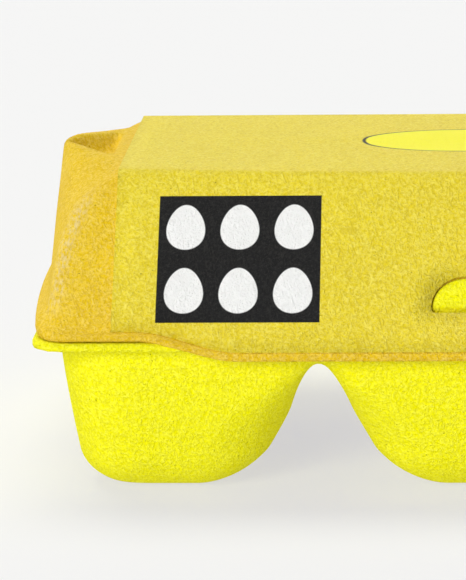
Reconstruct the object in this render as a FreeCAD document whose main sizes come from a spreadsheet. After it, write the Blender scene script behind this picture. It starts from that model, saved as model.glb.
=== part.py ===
import FreeCAD, Part
import math
import os
import Sketcher

# Moulded pulp carton for six eggs: a tray of six cups, a hinged lid with a printed
# card label round it, and a lock flap whose button looks out of a slot in the lid.
# Row frame: X along the carton, -Y the front, +Z up, origin under its middle.

SIZES = {
    # pulp and card
    "pulp": 1.5, "card": 0.35, "rim_thick": 1.7,
    # tray
    "deck_top": 27.4, "rim_top": 32.0, "pitch": 54.7, "row_half": 54.0, "tray_end": 75.8,
    "mouth_round": 14.0, "foot_round": 12.0, "toe_round": 8.5,
    "web_run": 9.3, "web_flare": 4.0, "flare_z": 22.0, "front_run": 9.0, "end_run": 3.6,
    "rim_half_x": 80.6, "rim_half_y": 57.6, "rim_round": 6.0, "flare": 1.6,
    "post_foot": 6.4, "post_tip": 4.0, "post_top": 51.0,
    # lid
    "lid_top": 59.6, "top_half_y": 31.4, "slope_run": 0.9084,
    "lid_rim_half_x": 81.6, "lid_rim_low": 28.5, "lip_half_x": 43.0, "step_end_x": 61.0,
    "flange_stop_x": 52.0, "lip_thick": 1.3, "lip_half_y": 59.0,
    "scoop_x": 74.0, "scoop_z": 60.2, "scoop_rx": 5.4, "scoop_ry": 11.0, "scoop_rz": 4.2,
    # label
    "label_half_x": 65.7, "label_low": 33.9, "label_gap": 0.05,
    # lock
    "slot_half": 6.35, "slot_low": 36.6, "slot_height": 7.4, "slot_gap": 1.35,
    "button_gap": 0.35, "button_proud": 1.95, "ledge_draft": 1.1,
    "crease_z": 30.1, "flap_low": 32.8, "flap_high": 46.0, "flap_foot": 46.0, "flap_head": 26.0,
    "flap_thick": 1.4, "flap_gap": 0.35,
    # living hinge
    "hinge_half_x": 60.0, "hinge_thick": 1.0, "crease_gap": 0.5,
}

# The lid's plan at each height: where its corner and the middle of its end stand.
LID_LEVELS = (("rim", 32.15, 77.9, 80.9), ("low", 42.0, 76.8, 80.2),
              ("mid", 51.0, 74.2, 79.4), ("high", 56.5, 71.1, 79.0),
              ("top", 59.6, 66.2, 78.4))

# The cups: name, place along X (-1 left, 0 middle, 1 right) and side (-1 front, 1 back).
CUPS = [("%s_%s" % (row, place), column, side)
        for row, side in (("front", -1), ("back", 1))
        for place, column in (("left", -1), ("middle", 0), ("right", 1))]
STEP_COUNT = 6

doc = FreeCAD.newDocument("egg_carton")
sheet = doc.addObject("Spreadsheet::Sheet", "Sizes")
row = 0
for level, height, corner, end in LID_LEVELS:
    SIZES["z_" + level] = height
    SIZES["corner_" + level] = corner
    SIZES["end_" + level] = end
for alias, value in SIZES.items():
    row += 1
    sheet.set("A%d" % row, alias)
    sheet.set("B%d" % row, str(value))
    sheet.setAlias("B%d" % row, alias)
doc.recompute()

NODES = []


def size(alias):
    return float(getattr(sheet, alias))


def term(expression):
    """An expression with each sheet alias written as a length from the sheet."""
    words, word = [], ""
    for letter in expression + " ":
        if letter.isalnum() or letter == "_":
            word += letter
            continue
        words.append("Sizes." + word if word in SIZES else word)
        words.append(letter)
        word = ""
    return "".join(words).strip()


def worth(expression):
    """The expression's value, for first guesses that the sheet then drives."""
    total = doc.getObject("Sizes").evalExpression(term(expression))
    return float(getattr(total, "Value", total))


def plane(body, role):
    for feature in body.Origin.OriginFeatures:
        if feature.Role == role:
            return feature


def new_body(name):
    body = doc.addObject("PartDesign::Body", name)
    body.Label = name
    return body


def new_sketch(body, name, role="XY_Plane", offset=None):
    """A sketch on one of the body's origin planes, raised by an expression."""
    sketch = body.newObject("Sketcher::SketchObject", name)
    sketch.AttachmentSupport = [(plane(body, role), "")]
    sketch.MapMode = "FlatFace"
    if offset:
        sketch.setExpression("AttachmentOffset.Base.z", term(offset))
    return sketch


def drive(sketch, constraint, expression):
    """Adds a constraint with the sheet's value behind it."""
    index = sketch.addConstraint(constraint)
    name = "size_%d" % index
    sketch.renameConstraint(index, name)
    sketch.setExpression("Constraints." + name, term(expression))


def point(sketch, geometry, position, x, y):
    """Holds a point of the sketch at x, y, each an expression or None for free."""
    for kind, expression in (("DistanceX", x), ("DistanceY", y)):
        if expression is not None:
            value = worth(expression)
            if expression == "0":
                side = -2 if kind == "DistanceX" else -1
                sketch.addConstraint(
                    Sketcher.Constraint("PointOnObject", geometry, position, side))
            else:
                drive(sketch, Sketcher.Constraint(
                    kind, -1, 1, geometry, position, value), expression)


def polygon(sketch, corners):
    """A closed outline through corners given as pairs of expressions."""
    count = len(corners)
    places = [FreeCAD.Vector(worth(x), worth(y), 0) for x, y in corners]
    lines = [sketch.addGeometry(Part.LineSegment(places[i], places[(i + 1) % count]))
             for i in range(count)]
    for i in range(count):
        sketch.addConstraint(Sketcher.Constraint(
            "Coincident", lines[i], 2, lines[(i + 1) % count], 1))
    for line, (x, y) in zip(lines, corners):
        point(sketch, line, 1, x, y)
    return lines


def rounded(sketch, low_x, high_x, low_y, high_y, radius):
    """A rectangle with rounded corners, every side and radius driven."""
    x0, x1, y0, y1, r = (worth(e) for e in (low_x, high_x, low_y, high_y, radius))
    spots = [(x0 + r, y0), (x1 - r, y0), (x1, y0 + r), (x1, y1 - r),
             (x1 - r, y1), (x0 + r, y1), (x0, y1 - r), (x0, y0 + r)]
    spots = [FreeCAD.Vector(x, y, 0) for x, y in spots]
    hubs = [(x1 - r, y0 + r), (x1 - r, y1 - r), (x0 + r, y1 - r), (x0 + r, y0 + r)]
    sides, arcs = [], []
    for i in range(4):
        sides.append(sketch.addGeometry(Part.LineSegment(spots[2 * i], spots[2 * i + 1])))
        circle = Part.Circle(
            FreeCAD.Vector(hubs[i][0], hubs[i][1], 0), FreeCAD.Vector(0, 0, 1), r)
        start = -math.pi / 2 + i * math.pi / 2
        arcs.append(sketch.addGeometry(
            Part.ArcOfCircle(circle, start, start + math.pi / 2)))
    for i in range(4):
        sketch.addConstraint(Sketcher.Constraint("Tangent", sides[i], 2, arcs[i], 1))
        sketch.addConstraint(
            Sketcher.Constraint("Tangent", arcs[i], 2, sides[(i + 1) % 4], 1))
        sketch.addConstraint(
            Sketcher.Constraint("Horizontal" if i % 2 == 0 else "Vertical", sides[i]))
        if i == 0:
            drive(sketch, Sketcher.Constraint("Radius", arcs[0], r), radius)
        else:
            sketch.addConstraint(Sketcher.Constraint("Equal", arcs[0], arcs[i]))
    point(sketch, sides[0], 1, None, low_y)
    point(sketch, sides[1], 1, high_x, None)
    point(sketch, sides[2], 1, None, high_y)
    point(sketch, sides[3], 1, low_x, None)


def barrel(sketch, half_y, corner, end):
    """A plan with straight front and back and bowed ends."""
    y, x, e = worth(half_y), worth(corner), worth(end)
    vector = FreeCAD.Vector
    front = sketch.addGeometry(Part.LineSegment(vector(-x, -y, 0), vector(x, -y, 0)))
    right = sketch.addGeometry(
        Part.Arc(vector(x, -y, 0), vector(e, 0, 0), vector(x, y, 0)))
    back = sketch.addGeometry(Part.LineSegment(vector(x, y, 0), vector(-x, y, 0)))
    left = sketch.addGeometry(
        Part.Arc(vector(-x, y, 0), vector(-e, 0, 0), vector(-x, -y, 0)))
    ring = (front, right, back, left)
    for i in range(4):
        sketch.addConstraint(Sketcher.Constraint(
            "Coincident", ring[i], 2, ring[(i + 1) % 4], 1))
    minus_x, minus_y = "-(%s)" % corner, "-(%s)" % half_y
    point(sketch, front, 1, minus_x, minus_y)
    point(sketch, front, 2, corner, minus_y)
    point(sketch, back, 1, corner, half_y)
    point(sketch, back, 2, minus_x, half_y)
    sagitta = "((%s) - (%s))" % (end, corner)
    radius = "(%s) / 2 + (%s) * (%s) / (2 * %s)" % (sagitta, half_y, half_y, sagitta)
    for arc in (right, left):
        drive(sketch, Sketcher.Constraint("Radius", arc, worth(radius)), radius)


def pad(body, sketch, length, name="Pad", midplane=False):
    feature = body.newObject("PartDesign::Pad", name)
    feature.Profile = sketch
    feature.setExpression("Length", term(length))
    feature.Midplane = midplane
    doc.recompute()
    return feature


def pocket(body, sketch, name="Pocket"):
    feature = body.newObject("PartDesign::Pocket", name)
    feature.Profile = sketch
    feature.Type = "ThroughAll"
    feature.Midplane = True
    doc.recompute()
    return feature


def loft(body, sketches, kind="AdditiveLoft", name="Loft", ruled=False):
    feature = body.newObject("PartDesign::" + kind, name)
    feature.Profile = sketches[0]
    feature.Sections = sketches[1:]
    feature.Ruled = ruled
    doc.recompute()
    return feature


def boolean(kind, name, base, tool):
    feature = doc.addObject("Part::" + kind, name)
    feature.Label = name
    feature.Base = base
    feature.Tool = tool
    doc.recompute()
    return feature


def block(name, low, high):
    """A box between two corners given as expressions."""
    box = doc.addObject("Part::Box", name)
    for axis, side, lower, upper in zip("xyz", ("Length", "Width", "Height"), low, high):
        box.setExpression("Placement.Base." + axis, term(lower))
        box.setExpression(side, term("(%s) - (%s)" % (upper, lower)))
    doc.recompute()
    return box


def keep(feature, name):
    """Hands a finished shape in as one node."""
    feature.Label = name
    NODES.append((name, feature))


# ---- tray: six cups under a deck, a rim round it and two posts ----

# how far up the toe's quarter circle each section is, and how far in it still stands
TOE = [(1 - math.cos(a), 1 - math.sin(a))
       for a in [step * math.pi / 12 for step in range(7)]]


def cup(name, column, row_side):
    """One cup: column -1, 0 or 1 along X, row_side -1 in front or 1 behind."""

    def plan(body, number, raised, lean, flare, toe, inset):
        """The plan at one level, from how far each wall still leans in there."""
        web = "%.6f * web_run + %.6f * web_flare + %s" % (lean, flare, inset)
        toe_in = "%.6f * toe_round" % toe
        web_in = "(pitch / 2 + %s + %s)" % (web, toe_in)
        end_in = "(tray_end - %.6f * end_run - %s - %s)" % (lean, inset, toe_in)
        if column == 0:
            low_x = "-(pitch / 2 - (%s) - %s)" % (web, toe_in)
            high_x = low_x[1:]
        elif column > 0:
            low_x, high_x = web_in, end_in
        else:
            low_x, high_x = "-" + end_in, "-" + web_in
        low_y = "(%s + %s)" % (web, toe_in)
        high_y = "(row_half - %.6f * front_run - %s - %s)" % (lean, inset, toe_in)
        if row_side < 0:
            low_y, high_y = "-" + high_y, "-" + low_y
        sketch = new_sketch(body, "%s_plan_%d" % (body.Name, number), "XY_Plane", raised)
        rounded(sketch, low_x, high_x, low_y, high_y,
                "foot_round + (1 - %.6f) * (mouth_round - foot_round) - %.6f * toe_round / 2"
                " - %s" % (lean, toe, inset))
        return sketch

    solids = []
    for tag, inset in (("_skin", "0 * pulp"), ("_well", "pulp")):
        body = new_body(name + tag)
        plans = []
        for number, (up, toe) in enumerate(TOE):
            # the well's toe is the same curve, one pulp thickness smaller and higher
            raised = "%s + %.6f * (toe_round - %s)" % (inset, up, inset)
            lean = 1 - worth(raised) / worth("flare_z")
            toe *= 1 - worth(inset) / size("toe_round")
            plans.append(plan(body, number, raised, lean, 1, toe, inset))
        plans.append(plan(body, 7, "flare_z", 0, 1, 0, inset))
        # the web side curves out to meet the next cup's at the arch
        for number, up in ((8, 0.5), (9, 0.85), (10, 1.0)):
            raised = "flare_z + %.2f * (deck_top - pulp - flare_z)" % up
            flare = 1 - (1 - math.sqrt(1 - up * up))
            plans.append(plan(body, number, raised, 0, flare, 0, inset))
        loft(body, plans, ruled=True)
        solids.append(body)
    keep(boolean("Cut", name + "_cup", solids[0], solids[1]), name)


for cup_name, column, row_side in CUPS:
    cup("cup_" + cup_name, column, row_side)

# the deck: a plate with a mouth over every cup
deck = new_body("tray_deck")
outline = new_sketch(deck, "deck_outline", "XY_Plane", "deck_top - pulp")
rounded(outline, "-tray_end", "tray_end", "-row_half", "row_half", "mouth_round")
pad(deck, outline, "pulp", "deck_pad")
for cup_name, column, row_side in CUPS:
    mouth = new_sketch(deck, "mouth_" + cup_name)
    web_in, end_in = "(pitch / 2 + pulp)", "(tray_end - pulp)"
    spans = {-1: ("-" + end_in, "-" + web_in), 1: (web_in, end_in),
             0: ("-(pitch / 2 - pulp)", "(pitch / 2 - pulp)")}
    near_y, far_y = "pulp", "(row_half - pulp)"
    low_y, high_y = ("-" + far_y, "-" + near_y) if row_side < 0 else (near_y, far_y)
    rounded(mouth, spans[column][0], spans[column][1], low_y, high_y, "mouth_round - pulp")
    pocket(deck, mouth, "open_" + cup_name)
keep(deck, "tray_deck")

# the rim: a band that flares up from the deck, then a flange turned outwards
rim = new_body("tray_rim")
band_low = new_sketch(rim, "band_low", "XY_Plane", "deck_top")
rounded(band_low, "-tray_end", "tray_end", "-row_half", "row_half", "mouth_round")
band_high = new_sketch(rim, "band_high", "XY_Plane", "rim_top - rim_thick")
rounded(band_high, "-(tray_end + flare)", "tray_end + flare",
        "-(row_half + flare)", "row_half + flare", "mouth_round + flare")
loft(rim, [band_low, band_high], "AdditiveLoft", "band")
flange = new_sketch(rim, "flange", "XY_Plane", "rim_top - rim_thick")
rounded(flange, "-rim_half_x", "rim_half_x", "-rim_half_y", "rim_half_y", "rim_round")
pad(rim, flange, "rim_thick", "flange_pad")
well_low = new_sketch(rim, "well_low", "XY_Plane", "deck_top")
rounded(well_low, "-(tray_end - pulp)", "tray_end - pulp",
        "-(row_half - pulp)", "row_half - pulp", "mouth_round - pulp")
well_high = new_sketch(rim, "well_high", "XY_Plane", "rim_top")
rounded(well_high, "-(tray_end + flare - pulp)", "tray_end + flare - pulp",
        "-(row_half + flare - pulp)", "row_half + flare - pulp",
        "mouth_round + flare - pulp")
loft(rim, [well_low, well_high], "SubtractiveLoft", "well")
# the lid's lip hangs down in front of the middle, so the flange stops either side
# of it and the band is lower, where the lock flap folds up from it
lip_gap = new_sketch(rim, "lip_gap")
polygon(lip_gap, [("-flange_stop_x", "-(lip_half_y + pulp)"),
                  ("flange_stop_x", "-(lip_half_y + pulp)"),
                  ("flange_stop_x", "-(row_half + flare)"),
                  ("-flange_stop_x", "-(row_half + flare)")])
pocket(rim, lip_gap, "lip_gap_cut")
flap_room = block("flap_room", ("-flange_stop_x", "-rim_half_y", "crease_z"),
                  ("flange_stop_x", "-row_half + 2 * pulp", "rim_top + pulp"))
keep(boolean("Cut", "tray_rim_cut", rim, flap_room), "tray_rim")

# two hollow posts stand where four cups meet
for side_name, side in (("left", -1), ("right", 1)):
    post = new_body("post_" + side_name)
    profile = new_sketch(post, "post_profile_" + side_name, "XZ_Plane")
    polygon(profile, [("post_foot - pulp", "deck_top"), ("post_foot", "deck_top"),
                      ("post_tip", "post_top"), ("0", "post_top"),
                      ("0", "post_top - pulp"), ("post_tip - pulp", "post_top - pulp")])
    turn = post.newObject("PartDesign::Revolution", "post_turn_" + side_name)
    turn.Profile = profile
    turn.ReferenceAxis = (profile, ["V_Axis"])
    turn.Angle = 360
    post.setExpression("Placement.Base.x", term("%d * pitch / 2" % side))
    doc.recompute()
    keep(post, "post_" + side_name)


# ---- lid: one bowed shell, handed in as its top, front, back and two ends ----

def lid_block(name, inset):
    """The lid's outside (inset 0) or its inside, as one solid."""
    body = new_body(name)
    # a wall of even thickness on a slope is wider measured level
    level_inset = "%s * sqrt(1 + slope_run * slope_run)" % inset
    sketches = []
    for level, _, _, _ in LID_LEVELS:
        lift = "z_%s" % level
        half_y = "top_half_y + slope_run * (lid_top - %s) - %s" % (lift, level_inset)
        if level == "top":
            lift = "z_top - %s" % inset
            half_y = "top_half_y + slope_run * %s - %s" % (inset, level_inset)
        sketch = new_sketch(body, "%s_%s" % (name, level), "XY_Plane", lift)
        barrel(sketch, half_y, "corner_%s - %s" % (level, inset),
               "end_%s - %s" % (level, inset))
        sketches.append(sketch)
    loft(body, sketches, "AdditiveLoft", name + "_loft")
    return body


def scoop(name, side, grow):
    """The spoon-shaped hollow in the top of one end."""
    egg = doc.addObject("Part::Ellipsoid", name)
    egg.setExpression("Radius1", term("scoop_rz + %s" % grow))
    egg.setExpression("Radius2", term("scoop_rx + %s" % grow))
    egg.setExpression("Radius3", term("scoop_ry + %s" % grow))
    egg.Angle1, egg.Angle2, egg.Angle3 = -90, 90, 360
    egg.setExpression("Placement.Base.x", term("%d * scoop_x" % side))
    egg.setExpression("Placement.Base.z", term("scoop_z"))
    doc.recompute()
    return egg


lid_solid, inside = lid_block("lid_outside", "0 * pulp"), lid_block("lid_inside", "pulp")
outside = lid_solid
for side_name, side in (("left", -1), ("right", 1)):
    outside = boolean("Cut", "lid_scooped_" + side_name, outside,
                      scoop("scoop_" + side_name, side, "0 * pulp"))
    inside = boolean("Cut", "lid_inside_" + side_name, inside,
                     scoop("scoop_in_" + side_name, side, "pulp"))
shell = boolean("Cut", "lid_shell", outside, inside)

LEAN = math.degrees(math.atan(size("slope_run")))


def on_slope(body, height, inward):
    """Stands a body's XY plane on the lid's front slope: Y up it, Z out of it."""
    run = size("slope_run")
    slope = math.sqrt(1 + run * run)
    out = FreeCAD.Vector(0, -1 / slope, run / slope)
    y = -(size("top_half_y") + run * (size("lid_top") - height))
    body.Placement = FreeCAD.Placement(
        FreeCAD.Vector(0, y, height) - out * inward,
        FreeCAD.Rotation(FreeCAD.Vector(1, 0, 0), 90 - LEAN))


def half_moon(sketch, low, half, top):
    """A half-moon: straight sides from low, then an arch up to top."""
    vector = FreeCAD.Vector
    y0, r, y1 = worth(low), worth(half), worth(top)
    spring = y1 - r
    base = sketch.addGeometry(Part.LineSegment(vector(-r, y0, 0), vector(r, y0, 0)))
    right = sketch.addGeometry(Part.LineSegment(vector(r, y0, 0), vector(r, spring, 0)))
    arch = sketch.addGeometry(Part.ArcOfCircle(
        Part.Circle(vector(0, spring, 0), vector(0, 0, 1), r), 0, math.pi))
    left = sketch.addGeometry(Part.LineSegment(vector(-r, spring, 0), vector(-r, y0, 0)))
    ring = ((base, right), (right, arch), (arch, left), (left, base))
    for first, second in ring:
        kind = "Tangent" if arch in (first, second) else "Coincident"
        sketch.addConstraint(Sketcher.Constraint(kind, first, 2, second, 1))
    sketch.addConstraint(Sketcher.Constraint("Vertical", right))
    sketch.addConstraint(Sketcher.Constraint("Vertical", left))
    point(sketch, base, 1, "-(%s)" % half, low)
    point(sketch, base, 2, half, low)
    drive(sketch, Sketcher.Constraint("DistanceY", -1, 1, arch, 3, spring),
          "(%s) - (%s)" % (top, half))


slot = new_body("slot_cutter")
moon = new_sketch(slot, "slot_moon")
half_moon(moon, "0.001 * slot_half", "slot_half", "slot_height")
pad(slot, moon, "8 * pulp", "slot_pad", True)
on_slope(slot, size("slot_low"), 0.0)
doc.recompute()

# the shell is parted just inside the label's edges and along the folds
part_x, part_y = "label_half_x - pulp", "top_half_y - pulp"
far_y, low_z, high_z = "row_half * 2", "z_rim - pulp", "lid_top + pulp"
panels = {
    "lid_top": ((part_x, part_y), ("-(%s)" % part_x, "-(%s)" % part_y)),
    "lid_front": ((part_x, "-(%s)" % part_y), ("-(%s)" % part_x, "-(%s)" % far_y)),
    "lid_back": ((part_x, far_y), ("-(%s)" % part_x, part_y)),
    "lid_end_left": (("-(%s)" % part_x, far_y), ("-2 * tray_end", "-(%s)" % far_y)),
    "lid_end_right": (("2 * tray_end", far_y), (part_x, "-(%s)" % far_y)),
}
for name, (high, low) in panels.items():
    region = block("room_" + name, low + (low_z,), high + (high_z,))
    panel = boolean("Common", "cut_" + name, shell, region)
    if name == "lid_front":
        panel = boolean("Cut", "slotted_" + name, panel, slot)
    keep(panel, name)

# the lid's rim: a flange all round, parted where the front lip takes over
lid_rim = new_body("lid_rim_ring")
ring = new_sketch(lid_rim, "lid_ring", "XY_Plane", "z_rim")
rounded(ring, "-lid_rim_half_x", "lid_rim_half_x", "-rim_half_y", "rim_half_y", "rim_round")
pad(lid_rim, ring, "rim_thick", "lid_ring_pad")
room = boolean("Cut", "lid_ring_open", lid_rim, lid_solid)
lip_room = block("lip_room_block", ("-step_end_x", "-2 * rim_half_y", "z_rim - pulp"),
                 ("step_end_x", "-row_half", "z_rim + 2 * rim_thick"))
keep(boolean("Cut", "lid_ring_parted", room, lip_room), "lid_rim")


def slope_wedge(name, inset):
    """The room behind the front slope, from below the lip to above the rim."""
    body = new_body(name)
    side = new_sketch(body, name + "_side", "YZ_Plane")
    low, high = "(lid_rim_low - rim_thick)", "(z_rim + 2 * rim_thick)"
    out = "%s * sqrt(1 + slope_run * slope_run)" % inset
    reach = "-(top_half_y + slope_run * (lid_top - %s) - %s)"
    polygon(side, [(reach % (low, out), low), ("-row_half / 2", low),
                   ("-row_half / 2", high), (reach % (high, out), high)])
    pad(body, side, "2 * step_end_x", name + "_pad", True)
    return body


def step_line(rise):
    """The front edge seen from the front, left to right, stepping down in the middle."""
    line = []
    for step in range(STEP_COUNT + 1):
        along = step / STEP_COUNT
        drop = along * along * (3 - 2 * along)
        line.append(("(step_end_x - %.4f * (step_end_x - lip_half_x))" % along,
                     "(z_rim - %.4f * (z_rim - lid_rim_low) + %s)" % (drop, rise)))
    return [("-" + x, height) for x, height in line] + line[::-1]


def front_strip(name, low_line, high_line, depth):
    """A solid between two such lines, from the middle plane out to depth."""
    body = new_body(name)
    face = new_sketch(body, name + "_face", "XZ_Plane")
    polygon(face, low_line + high_line[::-1])
    pad(body, face, depth, name + "_pad")
    return body


band = front_strip("lip_band", step_line("0 * pulp"), step_line("rim_thick"), "lip_half_y")
back_room = block("lip_back_room", ("-2 * tray_end", "-row_half", "lid_rim_low - pulp"),
                  ("2 * tray_end", "row_half", "lid_top"))
band = boolean("Cut", "lip_band_front", band, back_room)
level_line = [("-step_end_x", "z_rim + pulp / 2"), ("step_end_x", "z_rim + pulp / 2")]
skirt = boolean("Common", "lip_skirt_whole",
                front_strip("lip_skirt", step_line("0 * pulp"), level_line, "lip_half_y"),
                slope_wedge("lip_outside", "0 * pulp"))
lip = boolean("Fuse", "lip_whole", band, skirt)
lip = boolean("Cut", "lip_open", lip, slope_wedge("lip_inside", "pulp"))
for side_name, low_x, high_x in (("left", "-2 * tray_end", "-flange_stop_x + pulp"),
                                 ("right", "flange_stop_x - pulp", "2 * tray_end")):
    # where the tray's flange carries on, the lip is only a strip in front of it
    flange_room = block("flange_room_" + side_name,
                        (low_x, "-(lip_half_y - lip_thick)", "lid_rim_low - pulp"),
                        (high_x, "row_half", "z_rim"))
    lip = boolean("Cut", "lip_clear_" + side_name, lip, flange_room)
keep(boolean("Cut", "lip_parted", lip, lid_solid), "lid_lip")

# ---- label: one folded sheet of card round the lid's front, top and back ----
label = new_body("label_sheet")
fold = new_sketch(label, "label_fold", "YZ_Plane")
thick_y = "card * sqrt(1 + slope_run * slope_run)"
front_low = "(lid_rim_low + rim_thick / 2)"
front_y = "(top_half_y + slope_run * (lid_top - %s))" % front_low
back_y = "(top_half_y + slope_run * (lid_top - label_low))"
top_y_out = "(top_half_y - slope_run * card + %s)" % thick_y
polygon(fold, [("-" + front_y, front_low), ("-top_half_y", "lid_top"),
               ("top_half_y", "lid_top"), (back_y, "label_low"),
               ("%s + %s" % (back_y, thick_y), "label_low"), (top_y_out, "lid_top + card"),
               ("-" + top_y_out, "lid_top + card"),
               ("-(%s + %s)" % (front_y, thick_y), front_low)])
pad(label, fold, "2 * label_half_x", "label_pad", True)
# the front panel's lower edge follows the lip
floor_line = [("-2 * tray_end", "0 * pulp"), ("2 * tray_end", "0 * pulp")]
edge_line = step_line("rim_thick + label_gap")
edge_line = [("-2 * tray_end", edge_line[0][1])] + edge_line + [
    ("2 * tray_end", edge_line[-1][1])]
below = front_strip("label_below", floor_line, edge_line, "2 * rim_half_y")
trimmed = boolean("Cut", "label_trimmed", label, below)
keep(boolean("Cut", "label_slotted", trimmed, slot), "label")

# ---- lock: a flap that rises from the tray's front behind the lid, with its button ----
flap = new_body("lock_flap")
flap_face = new_sketch(flap, "flap_face")
slope_long = "sqrt(1 + slope_run * slope_run)"
flap_tall = "(flap_high - flap_low) * " + slope_long
polygon(flap_face, [("-flap_foot", "0.001 * pulp"), ("flap_foot", "0.001 * pulp"),
                    ("flap_foot", flap_tall + " / 3"), ("flap_head", flap_tall),
                    ("-flap_head", flap_tall), ("-flap_foot", flap_tall + " / 3")])
pad(flap, flap_face, "flap_thick", "flap_pad")
on_slope(flap, size("flap_low"), size("pulp") + size("flap_gap") + size("flap_thick"))
doc.recompute()
keep(flap, "lock_flap")

button = new_body("lock_button")
button_face = new_sketch(button, "button_face")
half_moon(button_face, "0.001 * slot_half", "slot_half - button_gap",
          "slot_height - button_gap")
pad(button, button_face, "flap_gap + button_proud", "button_pad")
# its underside is a drafted ledge, set up from the slot so the lid lifts off it
ledge = new_sketch(button, "button_ledge", "YZ_Plane")
polygon(ledge, [("-slot_half", "-pulp"), ("slot_gap", "-pulp"),
                ("slot_gap + ledge_draft", "flap_gap + button_proud + pulp"),
                ("-slot_half", "flap_gap + button_proud + pulp")])
pocket(button, ledge, "button_ledge_cut")
on_slope(button, size("slot_low"), size("pulp") + size("flap_gap"))
doc.recompute()
keep(button, "lock_button")

# ---- living hinges: thin folded strips of the same pulp ----
rear = block("rear_strip", ("-hinge_half_x", "rim_half_y", "rim_top - rim_thick"),
             ("hinge_half_x", "rim_half_y + hinge_thick", "z_rim + rim_thick"))
keep(rear, "rear_hinge")

crease = block("crease_strip", ("-flap_foot", "-(row_half + flare - 0.2 * pulp)", "crease_z"),
               ("flap_foot", "-(row_half + flare - 0.8 * pulp)", "crease_z + crease_gap"))
keep(crease, "flap_crease")

doc.recompute()
os.makedirs("parts", exist_ok=True)
for name, feature in NODES:
    state = [word for word in feature.State if word in ("Invalid", "Error")]
    shape = feature.Shape
    if state or shape.isNull() or not shape.isValid():
        raise RuntimeError("%s is not a sound shape: %s" % (name, feature.State))
    box = shape.BoundBox
    print("%-18s solids %d volume %9.1f  x %7.2f %7.2f y %7.2f %7.2f z %6.2f %6.2f" % (
        name, len(shape.Solids), shape.Volume, box.XMin, box.XMax, box.YMin, box.YMax,
        box.ZMin, box.ZMax))
    shape.exportStep("parts/%s.step" % name)
for feature in doc.Objects:
    if "Invalid" in feature.State or "Error" in feature.State:
        raise RuntimeError("%s did not recompute" % feature.Name)
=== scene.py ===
"""Looks of a moulded pulp egg carton for six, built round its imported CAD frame."""
import math

import bpy
import numpy as np
from mathutils import Euler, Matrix, Quaternion, Vector, geometry


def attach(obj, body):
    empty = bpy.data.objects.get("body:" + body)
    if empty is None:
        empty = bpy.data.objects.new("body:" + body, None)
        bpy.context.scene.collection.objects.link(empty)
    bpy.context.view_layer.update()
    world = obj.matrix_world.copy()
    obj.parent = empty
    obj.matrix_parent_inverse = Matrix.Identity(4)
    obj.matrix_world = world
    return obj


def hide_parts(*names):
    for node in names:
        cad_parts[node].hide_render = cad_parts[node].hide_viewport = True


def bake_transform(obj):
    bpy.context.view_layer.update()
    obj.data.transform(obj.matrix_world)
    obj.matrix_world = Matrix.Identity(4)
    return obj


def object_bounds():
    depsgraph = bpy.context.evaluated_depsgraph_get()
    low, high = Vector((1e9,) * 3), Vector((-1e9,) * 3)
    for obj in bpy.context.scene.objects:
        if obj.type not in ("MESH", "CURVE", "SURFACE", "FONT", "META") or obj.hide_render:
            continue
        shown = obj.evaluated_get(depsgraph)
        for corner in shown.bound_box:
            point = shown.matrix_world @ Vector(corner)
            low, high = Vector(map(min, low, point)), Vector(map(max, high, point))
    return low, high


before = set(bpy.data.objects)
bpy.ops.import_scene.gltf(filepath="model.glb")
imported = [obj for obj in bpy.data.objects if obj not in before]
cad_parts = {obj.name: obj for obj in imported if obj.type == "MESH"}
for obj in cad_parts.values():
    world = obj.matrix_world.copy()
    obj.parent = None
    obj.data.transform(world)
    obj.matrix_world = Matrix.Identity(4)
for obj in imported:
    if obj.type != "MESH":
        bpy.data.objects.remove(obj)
cad_low, cad_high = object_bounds()
MM = 0.001

# ---------------------------------------------------------------- sizes, in mm
# the CAD model's box: half its length, its back, its height and its front
HALF_LONG, BACK, HEIGHT = (round(c / MM, 2) for c in cad_high)
FRONT = -round(cad_low[1] / MM, 2)
PULP, CARD = 1.5, 0.35
# the tray: a tub, wider at its shoulder than at its foot, flaring above the shoulder
PITCH = 54.7
TUB_X, TUB_Y = 76.4, 54.5
FOOT_IN_X, FOOT_IN_Y, FOOT_CURVE = 3.6, 9.8, 1.2
SHOULDER, TUB_FLARE = 28.0, 0.36
CORNER_ROUND, CORNER_GROW = 13, 0.06
ARCH_TOP, ARCH_GROW, ARCH_FLARE_FROM = 26.4, 3.0, 10
POST_FOOT, POST_TAPER, POST_TOP, POST_REACH = 6.2, 0.115, 51.0, 10.0
# its rim: a flange, cut back in front where the lock flap folds up at the crease
OVERHANG = 1.0
RIM_X, RIM_Y, RIM_ROUND, RIM_THICK = HALF_LONG - OVERHANG, BACK - OVERHANG, 6.0, 1.7
RIM_FORWARD = 0.2
STOP_X, STOP_Y = 52.0, 55.6
CREASE, TRAY_TOP = 30.1, 32.0
SEAM = TRAY_TOP + 0.15
# the lid: its flat top, and how far its front and back slopes run out for each mm down
LID_TOP, TOP_Y, SAG, RUN = HEIGHT - CARD, 31.4, 0.75, 0.9084
SLOPE = math.hypot(1, RUN)
# its bowed ends: their middle and its lean, how far their corners swing out on the way down,
# and the bulge just above the rim
END_MIDDLE, END_LEAN, END_SWING, END_TALL = 79.5, 0.045, 11.7, 26.0
BULGE, BULGE_UP, BULGE_REACH = 1.9, 2.0, 2.4
# on top of each end: a raised nose, lower corners and a hollow
NOSE_X, NOSE_RISE, CORNER_FALL = 77, 1.1, 0.9
HOLLOW_INNER, HOLLOW_DEEP = 68.3, 3.3
# its lip: a band along the lower edge; in front it is lower out to LIP_X, back up by STEP_X
LIP_Y, LIP_LOW, LIP_X, STEP_X, LIP_THICK = FRONT, 28.85, 42.0, 61.0, 1.2
# the slot: its height on the front slope, then its half width and its reach up and down it
SLOT_LOW, SLOT_HALF, SLOT_TALL, SLOT_DROP = 36.6, 6.35, 7.4, 0.45
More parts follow.
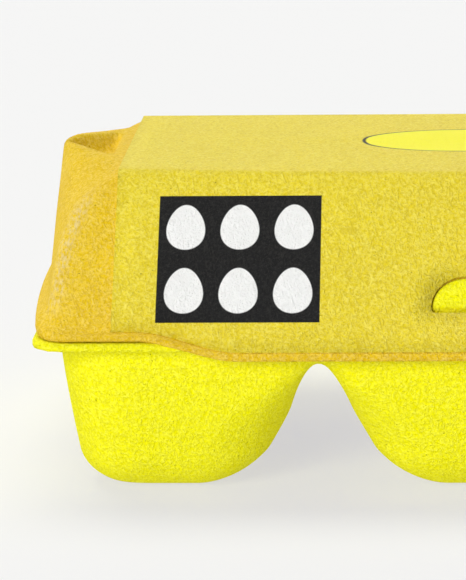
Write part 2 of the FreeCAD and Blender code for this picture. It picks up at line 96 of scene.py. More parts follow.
# the lock flap behind it and its button, measured up the slope and out of it
FLAP_FOOT, FLAP_HEAD, FLAP_HALF, FLAP_NARROW = -7.0, 11.6, 46.0, 20.0
FLAP_FACE, FLAP_THICK = -1.85, 1.4
BUTTON_GAP, BUTTON_FOOT, BUTTON_WALL = 0.12, 0.3, 1.7
# the label round the lid, and the two folded strips
LABEL_X, LABEL_LOW = 65.7, 33.9
HINGE_Y, HINGE_Z, HINGE_HALF = 57.5, 32.07, 59.5
HINGE_OUTER, HINGE_INNER = 1.08, 0.42
CREASE_HALF = 45.5


# ---------------------------------------------------------------- solid fields
def box2(x, y, half_x, half_y, r):
    """Signed distance to a rounded rectangle."""
    qx, qy = np.abs(x) - half_x + r, np.abs(y) - half_y + r
    outside = np.hypot(np.maximum(qx, 0), np.maximum(qy, 0))
    return outside + np.minimum(np.maximum(qx, qy), 0) - r


def meet(a, b, r):
    """What lies in both, its edge rounded by r."""
    u, v = np.maximum(a + r, 0), np.maximum(b + r, 0)
    return np.minimum(-r, np.maximum(a, b)) + np.hypot(u, v)


def join(a, b, r):
    """What lies in either, its inner corner filled by r."""
    return -meet(-a, -b, r)


def smooth(t):
    """An eased step from 0 to 1."""
    t = np.clip(t, 0, 1)
    return t * t * (3 - 2 * t)


def crossings(values, inside, axis, low, step):
    """Grid edges along axis that the surface crosses: their cells, spots and which way they face."""
    cells = np.array(values.shape) - 1
    lower = [slice(None)] * 3
    upper = [slice(None)] * 3
    lower[axis], upper[axis] = slice(0, -1), slice(1, None)
    lower, upper = tuple(lower), tuple(upper)
    crossed = inside[lower] != inside[upper]
    at = np.argwhere(crossed)
    f0, f1 = values[lower][crossed], values[upper][crossed]
    starts_inside = inside[lower][crossed]
    b, c = (axis + 1) % 3, (axis + 2) % 3
    keep = (at[:, b] > 0) & (at[:, b] < cells[b]) & (at[:, c] > 0) & (at[:, c] < cells[c])
    at, f0, f1 = at[keep], f0[keep], f1[keep]
    spot = at * step + np.array(low, float)
    spot[:, axis] += f0 / (f0 - f1) * step
    return at, spot, starts_inside[keep]


def contour(field, low, high, step):
    """The surface where field is 0, as points and quads, by dual contouring."""
    axes = [np.arange(a, b + step, step) for a, b in zip(low, high)]
    grid = np.meshgrid(*axes, indexing="ij", sparse=True)
    values = np.broadcast_to(field(*grid), [len(a) for a in axes]).astype(np.float32)
    inside = values < 0
    cells = np.array(values.shape) - 1
    count = np.zeros(cells.prod())
    total = np.zeros((3, cells.prod()))
    quads = []
    for axis in range(3):
        at, spot, starts_inside = crossings(values, inside, axis, low, step)
        b, c = (axis + 1) % 3, (axis + 2) % 3
        ring = []
        for db, dc in ((0, 0), (-1, 0), (-1, -1), (0, -1)):
            cell = at.copy()
            cell[:, b] += db
            cell[:, c] += dc
            flat = np.ravel_multi_index(cell.T, cells)
            count += np.bincount(flat, minlength=len(count))
            for k in range(3):
                total[k] += np.bincount(flat, weights=spot[:, k], minlength=len(count))
            ring.append(flat)
        ring = np.array(ring).T
        ring[~starts_inside] = ring[~starts_inside][:, ::-1]
        quads.append(ring)
    used, quads = np.unique(np.concatenate(quads), return_inverse=True)
    points = (total[:, used] / count[used]).T
    return settle(field, points, step), quads.reshape(-1, 4)


def settle(field, points, step):
    """Moves points onto the surface along the field's slope, in three short moves."""
    probe = 0.04
    for _ in range(3):
        x, y, z = points.T
        value = field(x, y, z)
        slope = np.stack([field(x + probe, y, z) - field(x - probe, y, z),
                          field(x, y + probe, z) - field(x, y - probe, z),
                          field(x, y, z + probe) - field(x, y, z - probe)], 1) / (2 * probe)
        size = np.maximum((slope * slope).sum(1), 0.05)
        shift = -slope * (value / size)[:, None]
        far = np.linalg.norm(shift, axis=1, keepdims=True)
        points = points + shift * np.minimum(1, 0.4 * step / np.maximum(far, 1e-9))
    return points


def make_mesh(name, points, faces):
    """A smooth-shaded mesh object from points in mm and an array or a list of faces."""
    mesh = bpy.data.meshes.new(name)
    points = np.asarray(points) * MM
    if isinstance(faces, list):
        mesh.from_pydata(points.tolist(), [], faces)
    else:
        mesh.vertices.add(len(points))
        mesh.vertices.foreach_set("co", points.astype(np.float32).ravel())
        mesh.loops.add(faces.size)
        mesh.loops.foreach_set("vertex_index", faces.astype(np.int32).ravel())
        mesh.polygons.add(len(faces))
        starts = np.arange(len(faces), dtype=np.int32) * faces.shape[1]
        mesh.polygons.foreach_set("loop_start", starts)
    mesh.update(calc_edges=True)
    mesh.validate()
    mesh.polygons.foreach_set("use_smooth", [True] * len(mesh.polygons))
    obj = bpy.data.objects.new(name, mesh)
    bpy.context.scene.collection.objects.link(obj)
    return obj


def hollowed(outside, x, y, z):
    """A sheet one pulp thick inside the surface where outside() is 0, and its inner side.

    Where outside() changes faster than distance does, the thickness is scaled to match.
    """
    value, probe = outside(x, y, z), 0.3
    steep = sum((outside(*[c + probe * (a == b) for b, c in enumerate((x, y, z))]) - value) ** 2
                for a in range(3))
    inner = -(value + PULP * np.clip(np.sqrt(steep) / probe, 1.0, 1.6))
    return np.maximum(value, inner), inner


def half_moon(x, up, half, low, high):
    """Distance to the outline of the slot or the button: an arch on a straight foot."""
    spring = high - half
    arch = np.hypot(x, np.maximum(up - spring, 0)) - half
    return meet(arch, low - up, 0.8)


# ---------------------------------------------------------------- the tray
def groove(across, z):
    """Distance to the open arch between cups: below 0 in the arch.

    The arch's half width, squared, grows steadily from its top down, and faster once it is deep.
    """
    drop = ARCH_TOP - z
    deep = np.maximum(drop - ARCH_FLARE_FROM, 0)
    half_squared = ARCH_GROW * drop + 0.5 * deep ** 2
    grow = ARCH_GROW + deep
    # near suits the arch's crown, far its sides
    near = (across ** 2 - half_squared) / np.sqrt(4 * across ** 2 + grow ** 2)
    half = np.sqrt(np.maximum(half_squared, 0.5))
    far = (np.abs(across) - half) / np.hypot(1, grow / (2 * half))
    return near + (far - near) * smooth((drop - 1) / 3)


def beside_post(x, y):
    """How far a place is from the nearer post's axis."""
    return np.hypot(np.abs(x) - PITCH / 2, y)


def tray_outside(x, y, z):
    """The tray as seen from below: a tub cut into six cups by three arches."""
    foot = (1 - np.clip(z, 0, SHOULDER) / SHOULDER) ** FOOT_CURVE
    rise = TUB_FLARE * np.maximum(z - SHOULDER, 0)
    # the sides lean, so they are a little nearer than box2 says
    side = box2(x, y, TUB_X - FOOT_IN_X * foot + rise, TUB_Y - FOOT_IN_Y * foot + rise,
                CORNER_ROUND + CORNER_GROW * z) * 0.96
    # a cup's edges along the arches are tightest at the arch's top and roundest halfway down
    edge = 3.9 + 9 * smooth((ARCH_TOP - z) / 14) - 5 * smooth((12 - z) / 12)
    shape = meet(side, -groove(np.abs(x) - PITCH / 2, z), edge)
    shape = meet(shape, -groove(y, z), edge)
    # and its toe is tighter at the carton's ends and beside the arches
    toe = 8.5 - 1.5 * smooth((np.abs(x) - 60) / 8)
    toe = toe - 2.5 * smooth((12 - np.abs(np.abs(x) - PITCH / 2)) / 6)
    shape = meet(shape, -z, toe)
    # the posts are hollow from below
    radius = POST_FOOT - POST_TAPER * (z - ARCH_TOP) - PULP
    post = meet((beside_post(x, y) - radius) * 0.99, z - (POST_TOP - PULP), 2.0)
    return meet(shape, -post, 3.0)


def tray_field(x, y, z):
    """The whole tray: the hollowed tub with its flange, open at the top."""
    sheet, inner = hollowed(tray_outside, x, y, z)
    flange = box2(x, y + RIM_FORWARD, RIM_X, RIM_Y + RIM_FORWARD, RIM_ROUND)
    flange = meet(flange, np.abs(z - TRAY_TOP + RIM_THICK / 2) - RIM_THICK / 2, 0.3)
    flange = np.maximum(flange, -np.maximum(np.abs(x) - STOP_X, y + STOP_Y))
    body = np.maximum(join(sheet, flange, 1.1), inner)
    by_the_flap = (np.abs(x) < STOP_X) & (y < -40)
    top = np.where(by_the_flap, CREASE, TRAY_TOP)
    return np.where(beside_post(x, y) < POST_REACH, np.maximum(body, z - POST_TOP - 1),
                    meet(body, z - top, 0.5))


# ---------------------------------------------------------------- the lid
def sag(x, y):
    """How far the top panel hangs down: most at the middle of its front fold."""
    share = np.clip((TOP_Y - y) / (2 * TOP_Y), 0, 1)
    return SAG * share * (1 - np.minimum(np.abs(x) / LABEL_X, 1) ** 2)


def lip_line(x):
    """Height of the lid's lower edge in front: it steps down in the middle."""
    along = (STEP_X - np.abs(x)) / (STEP_X - LIP_X)
    return SEAM - smooth(along) * (SEAM - LIP_LOW)


def off_slope(y, z):
    """Distance out of the lid's front or back slope."""
    return (np.abs(y) - TOP_Y - RUN * (LID_TOP - z)) / SLOPE


def lid_end(y, z):
    """How far out the lid's bowed end stands, with the bulge just above its rim."""
    down = np.clip(LID_TOP - z, 0.0, END_TALL)
    corner = LABEL_X + 0.2 + END_SWING * np.sqrt(1 - (1 - down / END_TALL) ** 2)
    middle = END_MIDDLE + END_LEAN * down
    half = TOP_Y + RUN * np.maximum(LID_TOP - z, 0)
    power = 1.15 + 0.85 * smooth(down / 12)
    share = (np.sqrt((y / half) ** 2 + 0.003)) ** power
    bulge = BULGE * np.exp(-((z - SEAM - BULGE_UP) / BULGE_REACH) ** 2)
    return middle - (middle - corner) * share + bulge


def end_hollow(x, y, z):
    """The three-sided hollow in the top of each end."""
    depth = LID_TOP - z
    shoulder = np.abs(x) + 0.85 * np.sqrt(y ** 2 + 2) - END_MIDDLE + 0.75 * depth
    hollow = meet(shoulder / 1.45, HOLLOW_INNER - np.abs(x) + 0.2 * depth, 1.6)
    return meet(hollow, depth - HOLLOW_DEEP, 2.5)


def lid_outside(x, y, z):
    """The lid as seen from above."""
    # the flat top rises a little at each end's nose and falls away at the corners
    nose = np.exp(-((np.abs(x) - NOSE_X) / 6) ** 2 - (y / 13) ** 2)
    fall = smooth((np.abs(x) - LABEL_X) / 4) * smooth((np.abs(y) - 14) / 12)
    top = z - LID_TOP + sag(x, y) - NOSE_RISE * nose + CORNER_FALL * fall
    end = (np.abs(x) - lid_end(y, z)) * 0.97
    # its edges are crisp at the nose and along the slopes, and round at the corners and low down
    cap = meet(top, end, 1.0 + 5.5 * smooth((np.abs(y) - 6) / 20))
    solid = meet(cap, off_slope(y, z), 0.7 + 4.6 * smooth((41 - z) / 8))
    return meet(solid, -end_hollow(x, y, z), 0.6)


def lid_field(x, y, z):
    """The whole lid: hollowed, open below, with its rim, its lip and the slot."""
    sheet, inner = hollowed(lid_outside, x, y, z)
    base = np.where(y < 0, lip_line(x), SEAM)
    reach_y = np.where(y < 0, RIM_Y + (LIP_Y - RIM_Y) * smooth((STEP_X - np.abs(x)) / 8), RIM_Y)
    band = meet(np.abs(x) - lid_end(y, SEAM) - 0.1, np.abs(y) - reach_y, 6.0)
    band = meet(band, np.abs(z - (base + LIP_THICK / 2)) - LIP_THICK / 2, 0.35)
    body = join(sheet, band, 0.4 + 2.0 * smooth((np.abs(x) - 70) / 8))
    body = meet(np.maximum(body, inner), base - 0.12 - z, 0.2)
    # the slot for the button, square to the front slope
    fore = -y - TOP_Y - RUN * (LID_TOP - SLOT_LOW)
    up = ((z - SLOT_LOW) - fore * RUN) / SLOPE
    slot = half_moon(x, up, SLOT_HALF, -SLOT_DROP, SLOT_TALL)
    return np.where(y < -30, meet(body, -slot, 0.3), body)


def highlight_share_at(obj):
    """How much painted highlight each point of the lid gets: a pale sheen painted most just in front
    of each end's crease.
    """
    points = np.empty(3 * len(obj.data.vertices), np.float32)
    obj.data.vertices.foreach_get("co", points)
    x, y, z = points.reshape(-1, 3).astype(float).T / MM
    end = np.abs(x) - lid_end(y, z)
    band = np.exp(-((end + 1.2) / 1.3) ** 2) * smooth((off_slope(y, z) + 2.2) / 0.6)
    return 0.75 * band * smooth((58 - z) / 6) * smooth((z - 33) / 8)


# ---------------------------------------------------------------- the lock
def on_slope(x, up, out):
    """Points in the plane of the lid's front slope: up it and out of it, in mm."""
    low_y = -(TOP_Y + RUN * (LID_TOP - SLOT_LOW))
    y = low_y + up * RUN / SLOPE - out / SLOPE
    z = SLOT_LOW + up / SLOPE + out * RUN / SLOPE
    return np.stack([x, y, z], -1)


def lock_field(x, up, out):
    """The flap and its button, in the slope's own axes."""
    tall = FLAP_HEAD - FLAP_FOOT
    along = np.clip((up - FLAP_FOOT) / tall, 0, 1)
    half = FLAP_HALF - FLAP_NARROW * np.clip((along - 0.33) / 0.67, 0, 1)
    flap = meet(np.abs(x) - half, np.abs(up - (FLAP_FOOT + FLAP_HEAD) / 2) - tall / 2, 3.0)
    proud = out - FLAP_FACE
    flap = meet(flap, np.abs(proud + FLAP_THICK / 2) - FLAP_THICK / 2, 0.4)
    # the button: a crowned half moon, its underside drafted, with a groove pressed along it
    button = half_moon(x, up, SLOT_HALF - BUTTON_GAP, BUTTON_FOOT, SLOT_TALL - BUTTON_GAP)
    underside = (BUTTON_FOOT + 0.42 * proud - up) / 1.08
    crown = np.abs(proud) - 2.05 + 0.012 * (x * x + (up - 2.5) ** 2)
    button = meet(np.maximum(button, underside), crown, 0.35)
    button = np.maximum(button, 0.34 - np.hypot(up - 1.45, out - 0.2))
    hollow = half_moon(x, up, SLOT_HALF - BUTTON_WALL, 2.7, SLOT_TALL - BUTTON_WALL)
    hollow = meet(hollow, out + 1.5, 0.5)
    return np.maximum(join(flap, button, 0.5), -hollow)


# ---------------------------------------------------------------- the label
SHEET = 200.0
SLOT_ROUND = 0.8
FOLD_TURN = 1.2


def run_at(height):
    """How far along the sheet a height on the front slope lies: 0 at the front fold."""
    return -(LID_TOP - height) * SLOPE


def label_low(x):
    """Height of the card's lower edge in front: just over the lid's lip."""
    return lip_line(x) + LIP_THICK + 0.05


SLOT_RUN, SLOT_LONG = run_at(SLOT_LOW) - SLOT_DROP, SLOT_TALL + SLOT_DROP
SLOT_SPRING = SLOT_LONG - SLOT_HALF
LABEL_FAR = 2 * TOP_Y - run_at(LABEL_LOW)


def label_place(x, run, out):
    """Label points from x, the run over the lid (0 at the front fold) and the height off it."""
    width, turn = 2 * TOP_Y, FOLD_TURN
    dip = sag(x, -TOP_Y)
    behind = run > TOP_Y
    fold = np.where(behind, 0, -dip * SLOPE)
    r = np.where(behind, width - run, run) - fold
    # the nearer fold, and one step down the slope or along the top from it
    fold_y, fold_z = -TOP_Y - np.where(behind, 0, dip * RUN), LID_TOP - np.where(behind, 0, dip)
    down_y, down_z = -RUN / SLOPE, -1 / SLOPE
    tilt = np.where(behind, 0, dip / width)
    t = np.clip((r + turn) / (2 * turn), 0, 1)
    # past the short curve at the fold the sheet is straight
    y = fold_y + np.where(r < 0, -r * down_y, r)
    z = fold_z + np.where(r < 0, -r * down_z, r * tilt)
    curve_y = fold_y + (1 - t) ** 2 * turn * down_y + t * t * turn
    curve_z = fold_z + (1 - t) ** 2 * turn * down_z + t * t * turn * tilt
    near = np.abs(r) < turn
    y, z = np.where(near, curve_y, y), np.where(near, curve_z, z)
    # out is square to the sheet: from the slope's angle to straight up
    lean = np.where(near, t, (r > 0).astype(float))
    start = math.atan2(RUN, 1)
    angle = start + lean * (math.pi / 2 - start)
    y = y - out * np.cos(angle)
    z = z + out * np.sin(angle)
    return np.stack([x, np.where(behind, -y, y), z], -1)


def slot_outline():
    """The slot in the sheet: an arch on a straight foot with small round corners."""
    hole = [(SLOT_HALF * math.cos(a), SLOT_RUN + SLOT_SPRING + SLOT_HALF * math.sin(a))
            for a in np.linspace(0, math.pi, 33)]
    for side, start in ((-1, math.pi), (1, 1.5 * math.pi)):
        hole += [(side * (SLOT_HALF - SLOT_ROUND) + SLOT_ROUND * math.cos(start + a),
                  SLOT_RUN + SLOT_ROUND + SLOT_ROUND * math.sin(start + a))
                 for a in np.linspace(0, math.pi / 2, 5)]
    return hole


def in_slot(x, run):
    """Whether a place on the sheet is inside the slot."""
    return (abs(x) < SLOT_HALF and SLOT_RUN < run < SLOT_RUN + SLOT_LONG
            and math.hypot(x, max(run - SLOT_RUN - SLOT_SPRING, 0)) < SLOT_HALF - 0.01)


def sheet_middle(xs):
    """Places inside the sheet that let it bend: close together at the folds."""
    folds = [f + d for f in (0, 2 * TOP_Y) for d in (-1.3, -0.9, -0.45, 0, 0.45, 0.9, 1.3)]
    runs = sorted(folds + list(np.arange(-36, -2, 4)) + list(np.arange(4, 60, 6))
                  + list(np.arange(66, LABEL_FAR - 2, 6)))
    places = []
    for run in runs:
        for x in xs:
            by_slot = abs(x) < SLOT_HALF + 1 and SLOT_RUN - 1 < run < SLOT_RUN + SLOT_LONG + 1
            if run > run_at(label_low(x)) + 1.0 and not by_slot:
                places.append((x, run))
    return places


def label_mesh():
    """The card as one folded sheet with its slot, thin but solid."""
    xs = np.linspace(-LABEL_X, LABEL_X, 68)
    rim = [(x, run_at(label_low(x))) for x in xs]
    rim += [(LABEL_X, LABEL_FAR), (-LABEL_X, LABEL_FAR)]
    hole = slot_outline()
    edges = [(i, (i + 1) % len(rim)) for i in range(len(rim))]
    edges += [(len(rim) + i, len(rim) + (i + 1) % len(hole)) for i in range(len(hole))]
    points = [Vector(p) for p in rim + hole + sheet_middle(xs[::2])]
    flat, _, faces, *_ = geometry.delaunay_2d_cdt(points, edges, [], 1, 1e-5)
    flat = np.array([list(p) for p in flat])
    faces = [list(f) for f in faces if not in_slot(*flat[list(f)].mean(0))]
    number = len(flat)
    # the card's outer and inner faces, and a wall wherever an edge has one face only
    sides = dict.fromkeys((a, b) for f in faces for a, b in zip(f, f[1:] + f[:1]))
    solid = faces + [[v + number for v in reversed(f)] for f in faces]
    solid += [[b, a, a + number, b + number] for a, b in sides if (b, a) not in sides]
    outer = label_place(flat[:, 0], flat[:, 1], CARD)
    inner = label_place(flat[:, 0], flat[:, 1], 0.02)
    obj = make_mesh("label_card", np.concatenate([outer, inner]), solid)
    sheet = obj.data.uv_layers.new(name="Sheet")
    vert = np.empty(len(obj.data.loops), np.int32)
    obj.data.loops.foreach_get("vertex_index", vert)
    uv = flat[vert % number] / SHEET + 0.5
    sheet.data.foreach_set("uv", uv.astype(np.float32).ravel())
    return obj


# ---------------------------------------------------------------- the folded strips
def strip_mesh(name, section, half):
    """A long strip: a closed section of (y, z) run along X."""
    xs = np.linspace(-half, half, 61)
    n, m = len(xs), len(section)
    points = [[x, y, z] for x in xs for y, z in section]
    faces = [[i * m + j, i * m + (j + 1) % m, (i + 1) * m + (j + 1) % m, (i + 1) * m + j]
             for i in range(n - 1) for j in range(m)]
    faces += [list(range(m))[::-1], [(n - 1) * m + j for j in range(m)]]
    return make_mesh(name, points, faces)


def hinge_section():
    """Half a tube, bulging backwards."""
    arc = np.linspace(-math.pi / 2, math.pi / 2, 13)
    return [(HINGE_Y + r * math.cos(a), HINGE_Z + r * math.sin(a))
            for r, way in ((HINGE_OUTER, 1), (HINGE_INNER, -1)) for a in arc[::way]]


# the crease strip's outline: six corners round the fold
CREASE_SECTION = [(-55.3, 29.9), (-54.2, 29.9), (-53.9, 30.4), (-53.9, 30.9), (-54.7, 31.0),
                  (-55.3, 30.4)]


# ---------------------------------------------------------------- materials
# each dye: its base, its darker shade and the paler colour of its fibres
TRAY_DYE = ((0.92, 0.88, 0.0), (0.76, 0.71, 0.0), (0.97, 0.96, 0.08))
LID_DYE = ((0.80, 0.54, 0.006), (0.63, 0.38, 0.0), (0.90, 0.69, 0.15))
CARD_DYE = ((0.78, 0.62, 0.006), (0.60, 0.44, 0.0), (0.88, 0.78, 0.14))
# the lid's painted highlight: a pale sheen painted in front of each end's crease
LID_CREASE_HIGHLIGHT = (0.80, 0.66, 0.34)
# the print: a colour, or a pair of it and the one that its fibres or grain bring out
PANEL_INK = ((0.002, 0.002, 0.002), (0.03, 0.028, 0.024))
EGG_FILL = ((0.86, 0.86, 0.84), (0.7, 0.7, 0.68))
OVAL_RING = (0.03, 0.03, 0.02)
OVAL_FILL = ((0.93, 0.88, 0.02), (0.8, 0.72, 0.03))
# noise scales, in cells per metre: clouding, lumps, grain and flecks; fibres along and across
CLOUD, LUMP, GRAIN, FLECK = 75, 420, 1500, 1900
FIBRE_ALONG, FIBRE_ACROSS, FIBRE_WAYS = 420, 2100, 4
# the streaks of the painted crease highlight, in cells per metre
HIGHLIGHT_STREAK_SCALE = (2400, 1200, 500)
# on the sheet, in mm from the front fold's middle: the dark panel, its egg shapes, the oval
PANEL_LEFT, PANEL_RIGHT, PANEL_LOW, PANEL_HIGH = -57.5, -27.0, -33.5, -5.9
EGG_COLUMNS, EGG_LINES, EGG_HALF, EGG_NARROW = 3, 2, (3.6, 4.9), 0.16
OVAL_HALF = (19.5, 11.0)


class Nodes:
    """Short hands for building a material's node tree."""

    def __init__(self, name):
        self.material = bpy.data.materials.new(name)
        self.material.use_nodes = True
        self.tree = self.material.node_tree
        self.shader = self.tree.nodes["Principled BSDF"]
        self.place = self.tree.nodes.new("ShaderNodeTexCoord").outputs["Object"]

    def link(self, source, target):
        self.tree.links.new(source, target)

    def math(self, operation, a, b):
        node = self.tree.nodes.new("ShaderNodeMath")
        node.operation = operation
        for socket, value in zip(node.inputs, (a, b)):
            if isinstance(value, (int, float)):
                socket.default_value = value
            else:
                self.link(value, socket)
        return node.outputs[0]

    def mapping(self, source, scale=(1, 1, 1), turn=(0, 0, 0)):
        node = self.tree.nodes.new("ShaderNodeMapping")
        node.inputs["Scale"].default_value = scale
        node.inputs["Rotation"].default_value = turn
        self.link(source, node.inputs["Vector"])
        return node.outputs[0]

    def noise(self, vector, scale, detail=2.0, rough=0.5, warp=0.0):
        node = self.tree.nodes.new("ShaderNodeTexNoise")
        node.inputs["Scale"].default_value = scale
        node.inputs["Detail"].default_value = detail
        node.inputs["Roughness"].default_value = rough
        node.inputs["Distortion"].default_value = warp
        self.link(vector, node.inputs["Vector"])
        return node.outputs["Fac"]

    def ramp(self, value, low, high):
        """0 where value is low, 1 where it is high, held outside them."""
        node = self.tree.nodes.new("ShaderNodeMapRange")
        node.clamp = True
        self.link(value, node.inputs["Value"])
        node.inputs["From Min"].default_value = low
        node.inputs["From Max"].default_value = high
        return node.outputs["Result"]

    def mix(self, share, first, second):
        """A colour share of the way from first to second."""
        node = self.tree.nodes.new("ShaderNodeMix")
        node.data_type = "RGBA"
        for name, value in (("Factor_Float", share), ("A_Color", first), ("B_Color", second)):
            socket = next(s for s in node.inputs if s.identifier == name)
            if isinstance(value, tuple):
                socket.default_value = value + (1,)
            else:
                self.link(value, socket)
        return next(s for s in node.outputs if s.identifier == "Result_Color")

    def part_mix(self, field, most, first, second):
        """A mix that goes at most part of the way, where field is 1."""
        return self.mix(self.math("MULTIPLY", field, most), first, second)

    def bump(self, height, strength, distance, normal=None):
        node = self.tree.nodes.new("ShaderNodeBump")
        node.inputs["Strength"].default_value = strength
        node.inputs["Distance"].default_value = distance
        self.link(height, node.inputs["Height"])
        if normal is not None:
            self.link(normal, node.inputs["Normal"])
        return node.outputs["Normal"]


def fibres(nodes, seed):
    """Short fibres lying several ways, from 0 to 1."""
    total = None
    for k in range(FIBRE_WAYS):
        angle = seed + k * math.pi / FIBRE_WAYS
        turned = nodes.mapping(nodes.place, turn=(angle * 0.6, angle, angle * 1.7 + seed))
        drawn = nodes.mapping(turned, scale=(FIBRE_ALONG, FIBRE_ACROSS, FIBRE_ACROSS))
        streak = nodes.ramp(nodes.noise(drawn, 1.0, 1.0, 0.5, 0.5), 0.57, 0.72)
        total = streak if total is None else nodes.math("MAXIMUM", total, streak)
    return total


def paper_look(nodes, dye, gloss):
    """Relief and shine of fibrous paper pulp; returns its colour, its grain and dark fibres."""
    base, shade, pale = dye
    grain = nodes.noise(nodes.place, GRAIN, 2.0, 0.6)
    cloud = nodes.noise(nodes.place, CLOUD, 3.0, 0.55)
    dark, light = fibres(nodes, 0.3), fibres(nodes, 1.9)
    flecks = nodes.ramp(nodes.noise(nodes.place, FLECK, 0.0), 0.82, 0.86)
    colour = nodes.part_mix(nodes.ramp(cloud, 0.3, 0.7), 0.22, base, shade)
    colour = nodes.part_mix(nodes.ramp(grain, 0.38, 0.72), 0.50, colour, pale)
    colour = nodes.part_mix(light, 0.55, colour, pale)
    colour = nodes.part_mix(dark, 0.55, colour, shade)
    colour = nodes.part_mix(flecks, 0.6, colour, tuple(c * 0.4 for c in shade))
    rough = nodes.math("ADD", nodes.math("MULTIPLY", grain, 0.15), 0.68)
    nodes.link(rough, nodes.shader.inputs["Roughness"])
    nodes.shader.inputs["Specular IOR Level"].default_value = gloss
    raised = nodes.math("SUBTRACT", nodes.math("MULTIPLY", light, 0.35),
                        nodes.math("MULTIPLY", dark, 0.45))
    relief = nodes.math("ADD", nodes.math("MULTIPLY", grain, 0.5), raised)
    normal = nodes.bump(nodes.noise(nodes.place, LUMP), 0.30, 0.0006)
    normal = nodes.bump(relief, 0.75, 0.00034, normal)
    nodes.link(normal, nodes.shader.inputs["Normal"])
    return colour, grain, dark


def pulp_material(name, dye, gloss, highlight_colour=None):
    """Dyed moulded pulp: mottled, fibrous, matt and slightly lumpy; given a highlight colour, it
    gets a pale painted highlight along each end's crease.
    """
    nodes = Nodes(name)
    colour, _, _ = paper_look(nodes, dye, gloss)
    # a pale painted highlight in streaks, where each end's crease catches the light
    if highlight_colour:
        painted_highlight = nodes.tree.nodes.new("ShaderNodeAttribute")
        painted_highlight.attribute_name = "painted_highlight"
        upright = nodes.mapping(nodes.place, scale=HIGHLIGHT_STREAK_SCALE)
        streaks = nodes.ramp(nodes.noise(upright, 1.0, 2.0, 0.6), 0.40, 0.66)
        colour = nodes.mix(nodes.math("MULTIPLY", painted_highlight.outputs["Fac"], streaks), colour, highlight_colour)
    nodes.link(colour, nodes.shader.inputs["Base Color"])
    return nodes.material


def sheet_place(nodes):
    """The card's own place: along the fold and over the lid, in mm."""
    uv = nodes.tree.nodes.new("ShaderNodeUVMap")
    uv.uv_map = "Sheet"
    split = nodes.tree.nodes.new("ShaderNodeSeparateXYZ")
    nodes.link(uv.outputs["UV"], split.inputs["Vector"])
    return [nodes.math("MULTIPLY", nodes.math("SUBTRACT", split.outputs[axis], 0.5), SHEET)
            for axis in ("X", "Y")]


def off_panel(nodes, u, v):
    """Distance to the edge of the dark panel: below 0 inside."""
    sides = []
    for place, low, high in ((u, PANEL_LEFT, PANEL_RIGHT), (v, PANEL_LOW, PANEL_HIGH)):
        off = nodes.math("ABSOLUTE", nodes.math("SUBTRACT", place, (low + high) / 2), 0)
        sides.append(nodes.math("SUBTRACT", off, (high - low) / 2))
    return nodes.math("MAXIMUM", *sides)


def oval(nodes, u, v, centre, half, narrow=0.0):
    """Distance-like field of an oval on the sheet: below 1 inside; narrow draws in its top."""
    du = nodes.math("SUBTRACT", u, centre[0])
    dv = nodes.math("SUBTRACT", v, centre[1])
    wide = nodes.math("ADD", nodes.math("MULTIPLY", dv, -narrow / half[1] * half[0]), half[0])
    a = nodes.math("DIVIDE", du, wide)
    b = nodes.math("DIVIDE", dv, half[1])
    square = nodes.math("ADD", nodes.math("MULTIPLY", a, a), nodes.math("MULTIPLY", b, b))
    return nodes.math("SQRT", square, 0)


def label_material():
    """Uncoated printed card: warm yellow, a plain dark panel and plain egg shapes."""
    nodes = Nodes("label_print")
    colour, grain, dark = paper_look(nodes, CARD_DYE, 0.28)
    u, v = sheet_place(nodes)
    panel = nodes.ramp(off_panel(nodes, u, v), 0.05, -0.05)
    colour = nodes.mix(panel, colour, nodes.part_mix(dark, 0.35, *PANEL_INK))
    white = nodes.part_mix(grain, 0.2, *EGG_FILL)
    for column in range(EGG_COLUMNS):
        for line in range(EGG_LINES):
            centre = (PANEL_LEFT + (PANEL_RIGHT - PANEL_LEFT) * (0.5 + column) / EGG_COLUMNS,
                      PANEL_LOW + (PANEL_HIGH - PANEL_LOW) * (0.5 + line) / EGG_LINES)
            egg = oval(nodes, u, v, centre, EGG_HALF, EGG_NARROW)
            colour = nodes.mix(nodes.ramp(egg, 1.02, 0.98), colour, white)
    # a plain bright oval on the top, with a thin dark line round it
    field = oval(nodes, u, v, (0.0, TOP_Y), OVAL_HALF)
    colour = nodes.mix(nodes.ramp(field, 1.045, 1.03), colour, OVAL_RING)
    colour = nodes.mix(nodes.ramp(field, 1.01, 0.995), colour,
                       nodes.part_mix(grain, 0.25, *OVAL_FILL))
    nodes.link(colour, nodes.shader.inputs["Base Color"])
    return nodes.material


STEP = 0.75
LOCK_STEP = 0.45
tray = make_mesh("tray_moulding", *contour(
    tray_field, (-82, -59, -1.5), (82, 59, 53), STEP))
lid = make_mesh("lid_moulding", *contour(
    lid_field, (-84, -61, 27), (84, 61, 61.5), STEP))
# the share of painted highlight at each point of the lid, most by each end's crease
painted_highlight = lid.data.attributes.new("painted_highlight", "FLOAT", "POINT")
painted_highlight.data.foreach_set("value", highlight_share_at(lid).astype(np.float32))
points, faces = contour(lock_field, (-47.5, -8.5, -5.2), (47.5, 13, 2.2), LOCK_STEP)
lock = make_mesh("lock_flap_moulding", on_slope(*points.T), faces)
label = label_mesh()
hinge = strip_mesh("lid_hinge_strip", hinge_section(), HINGE_HALF)
crease = strip_mesh("lock_crease_strip", CREASE_SECTION, CREASE_HALF)

TRAY_NODES = [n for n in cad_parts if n.startswith(("cup_", "tray_", "post_"))]
LID_NODES = [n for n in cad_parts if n.startswith("lid_")]
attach(tray, "tray")
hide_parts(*TRAY_NODES)
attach(lid, "lid")
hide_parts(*LID_NODES)
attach(label, "lid")
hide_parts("label")
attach(lock, "lock")
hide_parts("lock_flap", "lock_button")
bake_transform(hinge)
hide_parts("rear_hinge")
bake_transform(crease)
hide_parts("flap_crease")

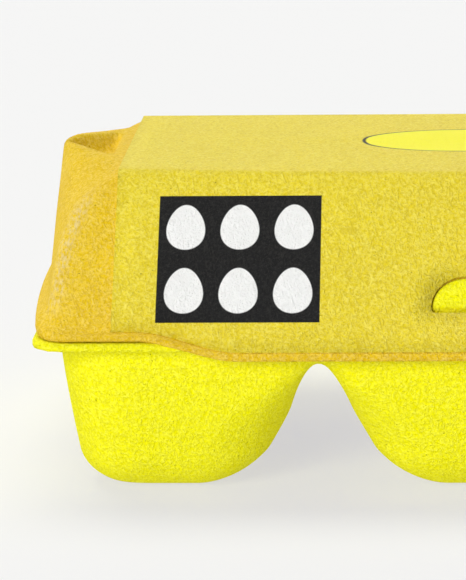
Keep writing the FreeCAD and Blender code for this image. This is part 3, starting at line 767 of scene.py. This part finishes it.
tray_pulp = pulp_material("tray_pulp_dyed", TRAY_DYE, 0.02)
lid_pulp = pulp_material("lid_pulp_dyed", LID_DYE, 0.05, LID_CREASE_HIGHLIGHT)
for obj, material in ((tray, tray_pulp), (lock, tray_pulp), (crease, tray_pulp),
                      (lid, lid_pulp), (hinge, lid_pulp), (label, label_material())):
    obj.data.materials.append(material)

# ---------------------------------------------------------------- studio
FLOOR_REACH = 4.0


def light_table():
    """A wide floor that glows a little, so shadows on it stay pale."""
    r = FLOOR_REACH
    mesh = bpy.data.meshes.new("floor")
    mesh.from_pydata([(-r, -r, 0), (r, -r, 0), (r, r, 0), (-r, r, 0)], [], [(0, 1, 2, 3)])
    paper = bpy.data.materials.new("backdrop")
    paper.use_nodes = True
    matt = paper.node_tree.nodes["Principled BSDF"]
    # painted light: the floor's own colour is yellowish and its glow bluish, so the glow lights its
    # shadows a neutral grey despite the carton's yellow bounce
    for socket, value in (("Base Color", (0.40, 0.40, 0.26, 1)), ("Roughness", 1.0),
                          ("Specular IOR Level", 0.0),
                          ("Emission Color", (0.65, 0.65, 0.86, 1)),
                          ("Emission Strength", 0.72)):
        matt.inputs[socket].default_value = value
    mesh.materials.append(paper)
    floor = bpy.data.objects.new("floor", mesh)
    bpy.context.scene.collection.objects.link(floor)
    return floor


light_table()

world = bpy.data.worlds.new("studio")
world.use_nodes = True
sky = world.node_tree
sky.nodes["Background"].inputs["Color"].default_value = (1, 1, 1, 1)


def sky_math(operation, a, b=0.0, c=0.0):
    """One sum of the sky's brightness."""
    node = sky.nodes.new("ShaderNodeMath")
    node.operation = operation
    for socket, value in zip(node.inputs, (a, b, c)):
        if isinstance(value, (int, float)):
            socket.default_value = value
        else:
            sky.links.new(value, socket)
    return node.outputs[0]


# a nearly even sky, with a lit backdrop low down behind
axes = sky.nodes.new("ShaderNodeSeparateXYZ")
sky.links.new(sky.nodes.new("ShaderNodeTexCoord").outputs["Generated"], axes.inputs["Vector"])
even = sky_math("MULTIPLY_ADD", axes.outputs["X"], 0.02, 0.26)
behind = sky_math("MAXIMUM", sky_math("SUBTRACT", axes.outputs["Y"], 0.55))
off = sky_math("ABSOLUTE", sky_math("SUBTRACT", axes.outputs["Z"], 0.2))
low = sky_math("MAXIMUM", sky_math("MULTIPLY_ADD", off, -4.0, 1.0))
backdrop = sky_math("MULTIPLY", sky_math("MULTIPLY", behind, low), 12.0)
sky.links.new(sky_math("ADD", even, backdrop), sky.nodes["Background"].inputs["Strength"])
bpy.context.scene.world = world


def sun(name, toward, strength, spread):
    """A soft sun: the same light all over the floor."""
    data = bpy.data.lights.new(name, "SUN")
    data.energy, data.angle = strength, math.radians(spread)
    obj = bpy.data.objects.new(name, data)
    obj.rotation_euler = Vector(toward).to_track_quat("-Z", "Y").to_euler()
    bpy.context.scene.collection.objects.link(obj)


sun("over", (0.15, -0.30, -0.94), 1.87, 50)
sun("key", (0.38, 0.87, -0.31), 2.10, 28)

# ---------------------------------------------------------------- camera
camera_data = bpy.data.cameras.new("camera")
camera_data.sensor_width = 36.0
camera_data.lens = 251.479
camera_data.clip_start, camera_data.clip_end = 0.01, 20
camera = bpy.data.objects.new("camera", camera_data)
bpy.context.scene.collection.objects.link(camera)
# the carton's middle lies on the picture's right edge, so the camera is turned a little left
pitch, yaw, roll = (math.radians(a) for a in (11.825, 3.434, 0.912))
camera.location = (0.00096, -0.78531, 0.19457)
camera.rotation_mode = "QUATERNION"
camera.rotation_quaternion = (
    Euler((math.pi / 2 - pitch, 0, yaw)).to_quaternion() @ Quaternion((0, 0, 1), -roll))
bpy.context.scene.camera = camera

view = bpy.context.scene.view_settings
view.view_transform = "Standard"
view.look = "None"

bpy.context.view_layer.update()
